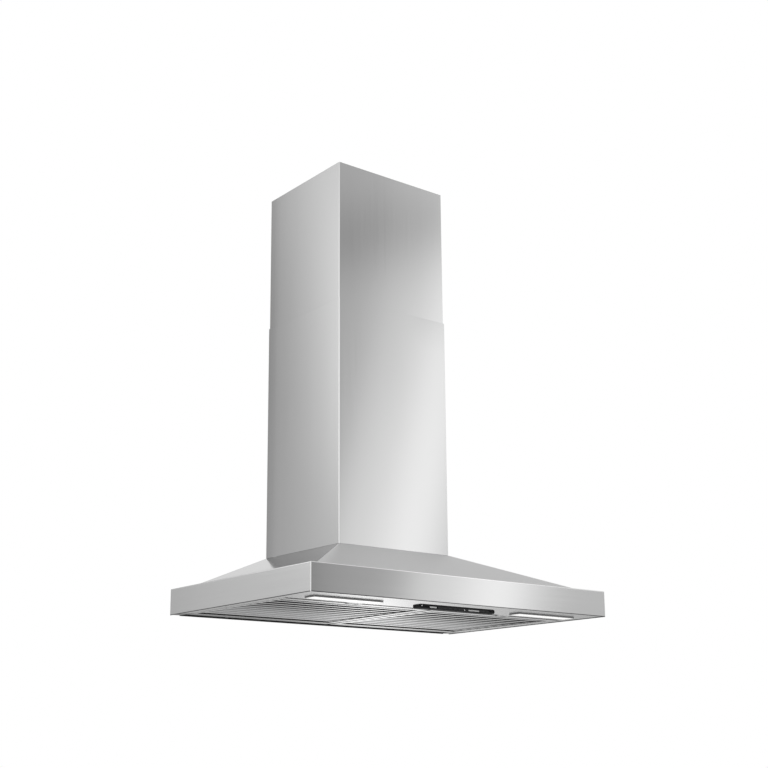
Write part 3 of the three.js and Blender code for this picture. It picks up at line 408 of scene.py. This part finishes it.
STEEL = (0.631, 0.631, 0.631)
# painted shade on the pan, filter and baffle sheets close to the wall
PAN_WALL_SHADE = (-0.070, -0.028, 0.22)
M = {
    "steel_cover": brushed_steel("steel_chimney", STEEL, 0.135, "up", 0.8, wall_shade=(-0.045, -0.004, 0.88)),
    "steel_cover_low": brushed_steel("steel_chimney_lower", STEEL, 0.135, "up", 0.8, wall_shade=(-0.045, -0.004, 0.88), seam_shade=(0.663, 0.07, 0.075)),
    # a brighter copy of the steel for the folds: painted highlight
    "steel_fold_highlight": brushed_steel("steel_fold_highlight", (0.96, 0.96, 0.96), 0.14, "up", 0.6),
    # lit and shaded copies of the steel for the roof slopes: painted light at the front, painted shade at the sides
    "steel_roof_front_lit": brushed_steel("steel_roof_front_lit", (0.74, 0.74, 0.74), 0.42, "level"),
    "steel_roof_side_shaded": brushed_steel("steel_roof_side_shaded", (0.385, 0.385, 0.385), 0.13, "level"),
    "steel_canopy": brushed_steel("steel_canopy", STEEL, 0.135, "level", gap_shade=0.0014),
    "steel_pan": brushed_steel("steel_pan", STEEL, 0.24, "x", stretch=0.4, wall_shade=PAN_WALL_SHADE),
    "steel_filter": brushed_steel("steel_filter", (0.622, 0.622, 0.622), 0.24, "x", stretch=0.4, wall_shade=PAN_WALL_SHADE),
    # a darker copy of the steel for the slats' folded sides: painted shade in the slots
    "slot_side_shade": brushed_steel("steel_slot_side_shade", (0.50, 0.503, 0.506), 0.34, "x", 1.4, slot_shade=0.05),
    "steel_baffle": brushed_steel("steel_baffle", (0.72, 0.72, 0.72), 0.22, "x", 1.2, wall_shade=PAN_WALL_SHADE),
    "steel_baffle_top": brushed_steel("steel_baffle_upper", (0.50, 0.502, 0.505), 0.32, "x", 1.3),
    "steel_trim": brushed_steel("steel_trim", (0.58, 0.582, 0.585), 0.26, "x", 0.8),
    "steel_turned": cast_metal("steel_turned", (0.56, 0.56, 0.565), 0.26, grit=1600.0, depth=0.15),
    "spring_wire": cast_metal("spring_wire", (0.50, 0.50, 0.51), 0.28, grit=2400.0, depth=0.2),
    "zinc": spangle("galvanised_sheet"),
    "zinc_plated": cast_metal("zinc_plated", (0.60, 0.605, 0.61), 0.30, grit=1500.0, depth=0.15),
    "alu": cast_metal("aluminium", (0.66, 0.67, 0.68), 0.34, grit=1100.0, depth=0.3),
    "motor": cast_metal("motor_enamel", (0.030, 0.031, 0.033), 0.42, metallic=0.35, grit=1300.0, depth=0.35, spin=(0.0, -0.152, 0.222)),
    "black_plastic": plastic("black_moulding", (0.022, 0.023, 0.025), 0.48),
    "housing_plastic": plastic("control_moulding", (0.028, 0.029, 0.031), 0.50),
    "white_plastic": plastic("white_moulding", (0.72, 0.72, 0.70), 0.42, vary=0.03),
    "driver_plastic": plastic("driver_moulding", (0.66, 0.665, 0.66), 0.45, vary=0.03),
    "rubber": plastic("cable_rubber", (0.018, 0.018, 0.019), 0.62, grit=2600.0, depth=0.2),
    "glass": black_glass("control_bar_black", 1.22, 0.07),
    "flange_dark_grey": plastic("lamp_flange_dark_grey", (0.27, 0.27, 0.272), 0.50, grit=2200.0, depth=0.2, spec=0.2),
    "bar_under": black_glass("control_bar_underside", 1.035, 0.30),
    "inlay": plastic("touch_strip", (0.034, 0.0345, 0.036), 0.34, grit=2600.0, depth=0.1, vary=0.03, spec=0.25),
    "mark_dark": plastic("touch_mark_dark", (0.006, 0.006, 0.0065), 0.30, grit=3000.0, depth=0.1, vary=0.03, spec=0.15),
    "lens": lamp_lens("lamp_diffuser", 0.48),
    "board_green": circuit_board("control_board_green", (0.012, 0.085, 0.040), (0.020, 0.125, 0.060), (0.55, 0.50, 0.33)),
    "board_white": circuit_board("lamp_board_white", (0.74, 0.74, 0.72), (0.66, 0.665, 0.66), (0.95, 0.86, 0.35)),
    "mark": plastic("panel_print", (0.80, 0.80, 0.80), 0.40, grit=3000.0, depth=0.1, vary=0.02),
}


# ------------------------------------------------------------------ meshes
def clean_copy(node, flat_deg=0.4):
    """A bmesh of a CAD node with its split corners joined and its flat faces made whole."""
    bm = bmesh.new()
    bm.from_mesh(NODES[node].data)
    bmesh.ops.remove_doubles(bm, verts=bm.verts, dist=2e-6)
    bmesh.ops.dissolve_degenerate(bm, edges=bm.edges, dist=1e-6)
    bmesh.ops.dissolve_limit(bm, angle_limit=math.radians(flat_deg), verts=bm.verts, edges=bm.edges)
    bmesh.ops.recalc_face_normals(bm, faces=bm.faces)
    return bm


def finish_mesh(bm, name, node, mat, body=None, sharp_deg=32.0):
    me = bpy.data.meshes.new(name)
    bm.to_mesh(me)
    bm.free()
    me.materials.clear()
    me.materials.append(mat)
    o = bpy.data.objects.new(name, me)
    bpy.context.scene.collection.objects.link(o)
    o.data.polygons.foreach_set("use_smooth", [True] * len(me.polygons))
    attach(o, body or BODY_OF[node])
    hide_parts(node)
    return o


def eased(node, mat, width, segments=3, choose=None, name=None, sharp=32.0):
    """Stands for a CAD node: the same shape with its edges eased. choose(edge midpoint, edge direction) gives each
    edge's share of width, 0 for a crisp edge."""
    bm = clean_copy(node)
    layer = bm.edges.layers.float.new("bevel_weight_edge")
    for e in bm.edges:
        if len(e.link_faces) != 2 or e.calc_face_angle(0.0) < math.radians(sharp):
            continue
        mid = (e.verts[0].co + e.verts[1].co) / 2
        share = choose(mid, (e.verts[1].co - e.verts[0].co).normalized()) if choose else 0.0
        e[layer] = share
        e.smooth = share > 0
    o = finish_mesh(bm, name or "vis_" + node, node, mat)
    if choose:
        b = o.modifiers.new("ease", "BEVEL")
        b.limit_method = "WEIGHT"
        b.width = width
        b.segments = segments
        b.profile = 0.5
        b.use_clamp_overlap = True
        b.harden_normals = True
    w = o.modifiers.new("normals", "WEIGHTED_NORMAL")
    w.keep_sharp = True
    w.weight = 60
    return o


def near(a, b, tol=0.00025):
    return abs(a - b) < tol


# canopy: rounded folds where they show, the bottom edge stays as cut
def canopy_edges(mid, d):
    x, y, z = abs(mid.x), mid.y, mid.z - ZS
    at_side, at_front = near(x, 0.380), near(y, -0.500)
    if at_side and at_front and abs(d.z) > 0.9:
        return 0.6                      # upright folds of the rim
    if near(z, 0.054) and (at_side or at_front):
        return 0.8                      # rim to ledge
    return 0.0


canopy = eased("canopy_shell", M["steel_canopy"], 0.0022, 4, canopy_edges, sharp=18.0)
# the sloping sheets of the hipped roof: the front slope is a lighter, rougher copy of the steel (painted light), the
# side slopes a darker copy (painted shade)
canopy.data.materials.append(M["steel_roof_front_lit"])
canopy.data.materials.append(M["steel_roof_side_shaded"])
canopy.data.materials.append(M["steel_fold_highlight"])
canopy.modifiers["ease"].material = 3      # folds painted bright: painted highlight
for f in canopy.data.polygons:
    if f.normal.z > 0.5 and f.center.z - ZS > 0.055:
        if f.normal.y < -0.2:
            f.material_index = 1
        elif abs(f.normal.x) > 0.2:
            f.material_index = 2


def cover_edges(mid, d):
    return 1.0 if mid.z - ZS > 0.2 else 0.0    # the top edge and the upright edges of the returns


for node, key in (("lower_chimney_cover", "steel_cover_low"), ("upper_chimney_cover", "steel_cover")):
    cover = eased(node, M[key], 0.00035, 2, cover_edges)
    # the two upright folds at the front are painted bright: painted highlight
    cover.data.materials.append(M["steel_fold_highlight"])
    for f in cover.data.polygons:
        if f.normal.y < -0.15 and abs(f.normal.x) > 0.15 and f.normal.x * f.center.x > 0:
            f.material_index = 1

eased("bottom_pan", M["steel_pan"], 0.0003)
for s in ("left", "right"):
    eased(f"filter_frame_{s}", M["steel_filter"], 0.0006)
    case = eased(f"light_housing_{s}", M["steel_trim"], 0.0003, 2,
                 lambda mid, d: 1.0 if near(mid.z - ZS, -0.0017) else 0.0)
    # the flange that shows round the lens is dark grey
    case.data.materials.append(M["flange_dark_grey"])
    for f in case.data.polygons:
        if max(case.data.vertices[v].co.z for v in f.vertices) - ZS < 0.0008:
            f.material_index = 1
    eased(f"light_lens_{s}", M["lens"], 0.0004, 3,
          lambda mid, d: 1.0 if near(mid.z - ZS, -0.0019) else 0.0)
    eased(f"filter_latch_{s}", M["steel_trim"], 0.0003, 2, lambda mid, d: 1.0)
    eased(f"pan_screw_side_{s}", M["steel_turned"], 0.0003)
    eased(f"pan_screw_rear_{s}", M["steel_turned"], 0.0003)

# control bar: glossy sides, satin underside
bar = eased("control_bar", M["glass"], 0.0005, 2,
            lambda mid, d: 1.0 if near(mid.y, -0.461) or near(mid.y, -0.441) else 0.0)
bar.data.materials.append(M["bar_under"])
bar.visible_glossy = False
for f in bar.data.polygons:
    if f.normal.z < -0.9 and near(f.center.z - ZS, -0.008):
        f.material_index = 1
for n in ("rear_panel", "cover_wall_bracket", "blower_box", "junction_box", "junction_box_cover"):
    eased(n, M["zinc"], 0.0003)


# baffles: each slat a folded strip with rounded folds, spot welded on its two rails
def folded_strip(bm, x0, x1, yc, w, z_plate, z_leg, t, r=0.00025, n=3):
    up = 1 if z_leg > z_plate else -1
    h = w / 2
    outer, inner = [], []
    for sx, start in ((-1, 180), (1, 270)):
        for i in range(n + 1):
            a = math.radians(start + 90 * i / n)
            cy = sx * (h - r)
            outer.append((cy + r * math.cos(a), r + r * math.sin(a)))
            if r > t:
                inner.append((cy + (r - t) * math.cos(a), r + (r - t) * math.sin(a)))
        if r <= t:
            inner.append((sx * (h - t), t))
    leg = abs(z_leg - z_plate)
    outer[n + 1:n + 1] = [(-h + EDGE, 0.0), (h - EDGE, 0.0)]
    prof = [(-h, leg)] + outer + [(h, leg), (h - t, leg)] + inner[::-1] + [(-h + t, leg)]
    k = len(prof)
    rings = []
    for x in (x0, x1):
        rings.append([bm.verts.new((x, yc + py, z_plate + up * pz)) for py, pz in prof])
    for i in range(k):
        bm.faces.new((rings[0][i], rings[0][(i + 1) % k], rings[1][(i + 1) % k], rings[1][i]))
    # ends
    for ring in rings:
        bm.faces.new(ring)


def rail(bm, x0, x1, y0, y1, z0, z1):
    r = bmesh.ops.create_cube(bm, size=1.0)
    for v in r["verts"]:
        v.co = Vector((
            x0 if v.co.x < 0 else x1, y0 if v.co.y < 0 else y1, z0 if v.co.z < 0 else z1))


SLOT_PITCH, SLOT_N, SLOT_Y0 = 0.0293, 11, -0.352
EDGE = 0.0034        # how far round the fold the painted shade on a slat's side runs
RX0, RX1 = 0.0051, 0.3554


def baffle(node, mat, s, upper):
    bm = bmesh.new()
    lo, hi = (RX0, RX1) if s > 0 else (-RX1, -RX0)
    if upper:
        y0, y1, z0, z1 = SLOT_Y0 - 0.009, SLOT_Y0 + (SLOT_N - 1) * SLOT_PITCH + 0.009, 0.012, 0.018
        strips = [(SLOT_Y0 + k * SLOT_PITCH, 0.022, 0.0175, 0.007) for k in range(SLOT_N)]
    else:
        y0, y1, z0, z1 = SLOT_Y0 + 0.006, SLOT_Y0 + (SLOT_N - 1) * SLOT_PITCH - 0.006, 0.0023, 0.0065
        strips = [(SLOT_Y0 + (k + 0.5) * SLOT_PITCH, 0.0143, 0.0023, 0.010) for k in range(SLOT_N - 1)]
    for yc, w, zp, zl in strips:
        folded_strip(bm, lo + 0.0005, hi - 0.0005, yc, w, ZS + zp, ZS + zl, 0.001)
    for a in (lo, hi - 0.001):
        rail(bm, a, a + 0.001, y0, y1, ZS + z0 + 0.0002, ZS + z1)
    bmesh.ops.recalc_face_normals(bm, faces=bm.faces)
    for e in bm.edges:
        if len(e.link_faces) == 2 and e.calc_face_angle(0.0) > math.radians(35):
            e.smooth = False
    o = finish_mesh(bm, "vis_" + node, node, mat)
    # the folded sides of the slats get a darker steel, painted shade, so the slots read dark
    o.data.materials.append(M["slot_side_shade"])
    for f in o.data.polygons:
        off = min(abs(f.center.y - yc) - w / 2 + EDGE for yc, w, _, _ in strips)
        if abs(f.normal.y) > 0.2 or (off > 0 and f.normal.z < -0.9):
            f.material_index = 1
    return o


for s, side in ((-1, "left"), (1, "right")):
    baffle(f"baffle_lower_{side}", M["steel_baffle"], s, False)
    baffle(f"baffle_upper_{side}", M["steel_baffle_top"], s, True)


# latch springs: round wire with closed ends
def latch_spring(side, wire=0.0003, closed=0.75, free=3.5, per_turn=24, sides=8):
    node = f"latch_spring_{side}"
    lo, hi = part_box(node)
    cx, cz = (lo[0] + hi[0]) / 2, (lo[2] + hi[2]) / 2
    rad = (hi[2] - lo[2]) / 2 - wire
    y0, y1 = lo[1] + wire, hi[1] - wire
    tight = 2.2 * wire * closed
    turns = free + 2 * closed

    def point(t):
        if t < closed:
            y = y0 + tight * t / closed
        elif t > turns - closed:
            y = y1 - tight * (turns - t) / closed
        else:
            y = y0 + tight + (y1 - y0 - 2 * tight) * (t - closed) / free
        a = 2 * math.pi * t
        return Vector((cx + rad * math.cos(a), y, cz + rad * math.sin(a)))

    bm = bmesh.new()
    n = int(turns * per_turn)
    rings = []
    for i in range(n + 1):
        t = turns * i / n
        p = point(t)
        along = (point(min(t + 0.01, turns)) - point(max(t - 0.01, 0.0))).normalized()
        out = Vector((p.x - cx, 0, p.z - cz)).normalized()
        up = along.cross(out).normalized()
        rings.append([bm.verts.new(p + wire * (math.cos(2 * math.pi * k / sides) * out + math.sin(2 * math.pi * k / sides) * up))
                      for k in range(sides)])
    for a, b in zip(rings, rings[1:]):
        for k in range(sides):
            bm.faces.new((a[k], a[(k + 1) % sides], b[(k + 1) % sides], b[k]))
    bm.faces.new(rings[0])
    bm.faces.new(rings[-1])
    bmesh.ops.recalc_face_normals(bm, faces=bm.faces)
    for e in bm.edges:
        e.smooth = e.calc_face_angle(0.0) < math.radians(60)
    o = finish_mesh(bm, "vis_" + node, node, M["spring_wire"])
    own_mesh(o)


latch_spring("left")
latch_spring("right")

# ------------------------------------------------------------------ marks on the control bar
BAR_FACE = -0.461


def face_mark(name, outline, mat, thick):
    """A printed mark on the bar's front face: a thin plate with a broken edge. outline is in x and height."""
    bm = bmesh.new()
    f = bm.faces.new([bm.verts.new((x, BAR_FACE, ZS + z)) for x, z in outline])
    r = bmesh.ops.extrude_face_region(bm, geom=[f])
    for v in [v for v in r["geom"] if isinstance(v, bmesh.types.BMVert)]:
        v.co.y -= thick
    bmesh.ops.recalc_face_normals(bm, faces=bm.faces)
    me = bpy.data.meshes.new(name)
    bm.to_mesh(me)
    bm.free()
    me.materials.append(mat)
    o = bpy.data.objects.new(name, me)
    bpy.context.scene.collection.objects.link(o)
    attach(o, "hood")
    o.visible_glossy = False
    b = o.modifiers.new("ease", "BEVEL")
    b.width, b.segments = thick * 0.4, 1
    return o


def pill(cx, cy, lx, ly, n=6):
    """A bar with round ends, centre and half sizes in metres."""
    r = min(lx, ly)
    pts = []
    for sx, a0 in ((1, -90), (-1, 90)):
        for i in range(n + 1):
            a = math.radians(a0 + 180 * i / n)
            pts.append((cx + sx * (lx - r) + r * math.cos(a), cy + r * math.sin(a)))
    return pts


def disc(cx, cy, r, n=16):
    return [(cx + r * math.cos(2 * math.pi * i / n), cy + r * math.sin(2 * math.pi * i / n)) for i in range(n)]


face_mark("touch_strip", pill(0.0150, -0.0044, 0.0670, 0.0019), M["inlay"], 0.00006)
face_mark("mark_dot_left", disc(-0.0917, -0.0030, 0.0013), M["mark"], 0.00014)
face_mark("mark_bar_left", pill(-0.0633, -0.0047, 0.0088, 0.0013), M["mark"], 0.00014)
face_mark("mark_dark_left", pill(-0.0130, -0.0049, 0.0030, 0.0011), M["mark_dark"], 0.00014)
face_mark("mark_dark_right", pill(0.0000, -0.0051, 0.0030, 0.0011), M["mark_dark"], 0.00014)
face_mark("mark_dot_right", disc(0.0176, -0.0050, 0.0014), M["mark"], 0.00014)
face_mark("mark_bar_right", pill(0.0418, -0.0050, 0.0142, 0.0011), M["mark"], 0.00014)

# ------------------------------------------------------------------ materials of the CAD nodes that stay
STAY = {
    "rear_edge_seal": "rubber", "scroll_housing": "black_plastic", "inlet_ring_left": "black_plastic", "inlet_ring_right": "black_plastic",
    "impeller": "alu", "motor_shaft": "steel_turned", "motor": "motor", "motor_bracket": "zinc",
    "duct_collar": "zinc", "damper_rod": "steel_turned", "damper_flap_front": "alu", "damper_flap_rear": "alu",
    "cord_gland": "black_plastic", "run_capacitor": "white_plastic", "capacitor_nut": "zinc_plated",
    "light_board_left": "board_white", "light_board_right": "board_white",
    "control_housing": "housing_plastic", "control_board": "board_green", "light_driver": "driver_plastic",
    "cover_screw_left": "zinc_plated", "cover_screw_right": "zinc_plated",
    "blower_screw_front_left": "zinc_plated", "blower_screw_front_right": "zinc_plated",
    "blower_screw_rear_left": "zinc_plated", "blower_screw_rear_right": "zinc_plated",
    "motor_cable": "rubber", "control_cable": "rubber", "light_cable_left": "rubber",
    "light_cable_right": "rubber", "driver_lead": "rubber",
}
for node, key in STAY.items():
    o = NODES[node]
    o.data.materials.clear()
    o.data.materials.append(M[key])


# ------------------------------------------------------------------ studio
def stage_material(name):
    mat = bpy.data.materials.new(name)
    mat.use_nodes = True
    mat.node_tree.nodes.clear()
    return mat, Graph(mat.node_tree)


def light_card(name, centre, az, half_u, low, high, base, patches, fade=0.35):
    """An upright soft light card seen in the steel only. centre is its place at height 0 in the rim's frame, az the
    compass direction it stands in, patches are soft light spots (strength, u, height, half widths, turn)."""
    a = math.radians(az)
    n = Vector((-math.sin(a), -math.cos(a), 0))
    u = Vector((0, 0, 1)).cross(n)
    me = bpy.data.meshes.new(name)
    me.from_pydata([(-half_u, low, 0), (half_u, low, 0), (half_u, high, 0), (-half_u, high, 0)], [], [(0, 1, 2, 3)])
    o = bpy.data.objects.new(name, me)
    bpy.context.scene.collection.objects.link(o)
    o.matrix_world = Matrix((
        (u.x, 0, n.x, centre[0]), (u.y, 0, n.y, centre[1]), (0, 1, 0, ZS), (0, 0, 0, 1)))
    mat, g = stage_material(name)
    p = g.coord("Object")
    x, y, z = g.split(p)
    total = None
    for amp, cu, cz, su, sz, turn in patches:
        c, s = math.cos(math.radians(turn)), math.sin(math.radians(turn))
        du, dz = g.math("ADD", x, -cu), g.math("ADD", y, -cz)
        e1 = g.math("ADD", g.math("MULTIPLY", du, c / su), g.math("MULTIPLY", dz, s / su))
        e2 = g.math("ADD", g.math("MULTIPLY", du, -s / sz), g.math("MULTIPLY", dz, c / sz))
        q = g.math("ADD", g.math("MULTIPLY", e1, e1), g.math("MULTIPLY", e2, e2))
        v = g.math("MULTIPLY", g.math("EXPONENT", g.math("MULTIPLY", q, -1.0)), amp)
        total = v if total is None else g.math("ADD", total, v)
    total = g.math("MAXIMUM", base if total is None else g.math("ADD", total, base), 0.02)
    em = g.new("ShaderNodeEmission")
    g.link(total, em.inputs["Strength"])
    clear = g.new("ShaderNodeBsdfTransparent")
    edge = g.math("MINIMUM",
                  g.math("SUBTRACT", half_u, g.math("ABSOLUTE", x)),
                  g.math("MINIMUM", g.math("SUBTRACT", y, low), g.math("SUBTRACT", high, y)))
    mixn = g.new("ShaderNodeMixShader")
    g.link(g.ramp(edge, 0.0, fade, 0.0, 1.0, smooth=True), mixn.inputs[0])
    g.link(clear.outputs[0], mixn.inputs[1])
    g.link(em.outputs[0], mixn.inputs[2])
    out = g.new("ShaderNodeOutputMaterial")
    g.link(mixn.outputs[0], out.inputs[0])
    me.materials.append(mat)
    o.visible_camera = False
    o.visible_shadow = False
    return o


def polar(ox, oy, dist, az):
    a = math.radians(az)
    return (ox + dist * math.sin(a), oy + dist * math.cos(a))


light_card("card_front_right", polar(0.0, -0.350, 1.5, 138), 138, 1.25, -0.7, 2.6, 0.316, [
    (-0.303, -0.666, 1.591, 0.148, 1.141, 83.0),
    (0.447, -0.503, 1.052, 1.051, 3.989, 0.6),
    (0.359, 0.248, 0.177, 0.060, 0.751, 10.3),
    (0.725, -0.020, 0.353, 0.119, 1.882, 10.4),
    (0.260, 0.189, -0.196, 0.081, 1.930, 7.0),
    (-0.22, 0.615, 0.250, 0.045, 0.300, 0.0),
])
light_card("card_left_back", polar(-0.250, -0.200, 1.2, 326), 326, 1.0, -0.7, 2.4, 0.145, [
    (1.073, -0.697, 0.610, 0.704, 1.186, 32.4),
    (1.268, -0.697, -0.118, 0.340, 2.504, -20.5),
    (-1.063, -0.433, 0.232, 0.336, 0.290, 70.3),
])
light_card("card_camera_side", polar(0.0, -0.30, 3.2, 232), 232, 1.5, -0.9, 2.7, 0.95, [], 0.5)

# floor
me = bpy.data.meshes.new("floor")
N_FLOOR = 96
bm = bmesh.new()
bmesh.ops.create_circle(bm, cap_ends=True, radius=3.4, segments=N_FLOOR)
bmesh.ops.translate(bm, verts=bm.verts, vec=(0, -0.25, -1.58))
bm.to_mesh(me)
bm.free()
floor = bpy.data.objects.new("floor", me)
bpy.context.scene.collection.objects.link(floor)
mat, g, bsdf = material("floor_pale")
p = g.coord("Object")
g.link(g.mix(g.ramp(g.noise(p, 3.0, 4.0, 0.5), 0.3, 0.7), rgb(0.80, 0.80, 0.795), rgb(0.83, 0.83, 0.828)), bsdf.inputs["Base Color"])
g.link(g.ramp(g.noise(p, 90.0, 3.0, 0.6), 0.3, 0.7, 0.55, 0.68), bsdf.inputs["Roughness"])
me.materials.append(mat)

# world: plain white to the camera, soft studio grey to everything else
world = bpy.data.worlds.new("studio")
bpy.context.scene.world = world
world.use_nodes = True
world.node_tree.nodes.clear()
g = Graph(world.node_tree)
path = g.new("ShaderNodeLightPath")
d = g.split(g.coord("Generated"))
sky = g.ramp(d[2], -0.6, 0.9, 0.66, 0.80, smooth=True)
# low behind the hood: a soft bright column with darker sides, which the underside reflects
LOW_AZ = math.radians(39.5)
side = g.math("ARCTAN2", g.math("ADD", g.math("MULTIPLY", d[0], math.cos(LOW_AZ)), g.math("MULTIPLY", d[1], -math.sin(LOW_AZ))),
              g.math("ADD", g.math("MULTIPLY", d[0], math.sin(LOW_AZ)), g.math("MULTIPLY", d[1], math.cos(LOW_AZ))))
column = 0.60
for strength, centre, left_width, right_width in ((1.15, 37.6, 1.6, 2.4), (0.28, 41.5, 4.5, 4.5)):
    gap = g.math("ADD", side, LOW_AZ - math.radians(centre))
    off = g.math("MAXIMUM", g.math("DIVIDE", gap, math.radians(right_width)), g.math("DIVIDE", gap, -math.radians(left_width)))
    column = g.math("ADD", g.math("MULTIPLY", g.math("EXPONENT", g.math("MULTIPLY", g.math("MULTIPLY", off, off), -1.0)), strength), column)
below = g.math("MULTIPLY", g.ramp(d[2], 0.02, 0.0, 0.0, 1.0), g.ramp(g.math("ABSOLUTE", side), math.radians(40), math.radians(20), 0.0, 1.0, smooth=True))
sky = g.mixf(below, sky, column)
# low behind the hood and above its rim: a soft bright patch, which the left slope of the roof reflects
height = g.math("DIVIDE", g.math("ADD", g.math("ARCSINE", d[2]), math.radians(-17)), math.radians(9))
turn = g.math("DIVIDE", g.math("ADD", side, LOW_AZ - math.radians(34)), math.radians(14))
patch = g.math("EXPONENT", g.math("MULTIPLY", g.math("ADD", g.math("MULTIPLY", height, height), g.math("MULTIPLY", turn, turn)), -1.0))
sky = g.math("ADD", sky, g.math("MULTIPLY", patch, 0.37))
bg_room = g.new("ShaderNodeBackground")
g.link(sky, bg_room.inputs["Strength"])
bg_white = g.new("ShaderNodeBackground")
bg_white.inputs["Color"].default_value = rgb(1.0)
mixn = g.new("ShaderNodeMixShader")
g.link(path.outputs["Is Camera Ray"], mixn.inputs[0])
g.link(bg_room.outputs[0], mixn.inputs[1])
g.link(bg_white.outputs[0], mixn.inputs[2])
out = g.new("ShaderNodeOutputWorld")
g.link(mixn.outputs[0], out.inputs[0])


def area(name, at, to, size, power):
    d = bpy.data.lights.new(name, "AREA")
    d.shape = "SQUARE"
    d.size = size
    d.energy = power
    o = bpy.data.objects.new(name, d)
    bpy.context.scene.collection.objects.link(o)
    o.location = at
    o.rotation_mode = "QUATERNION"
    o.rotation_quaternion = (Vector(to) - Vector(at)).to_track_quat("-Z", "Y")
    o.visible_glossy = False
    o.visible_camera = False
    return o


area("soft_top", (-0.8, -1.6, 2.6), (0, -0.2, 0.3), 1.6, 22)
area("soft_back", (0.6, 1.8, 1.6), (0, -0.2, 0.4), 1.4, 14)

bpy.context.scene.view_settings.view_transform = "Standard"
bpy.context.scene.view_settings.look = "None"
bpy.context.scene.view_settings.exposure = 0.0
bpy.context.scene.view_settings.gamma = 1.0
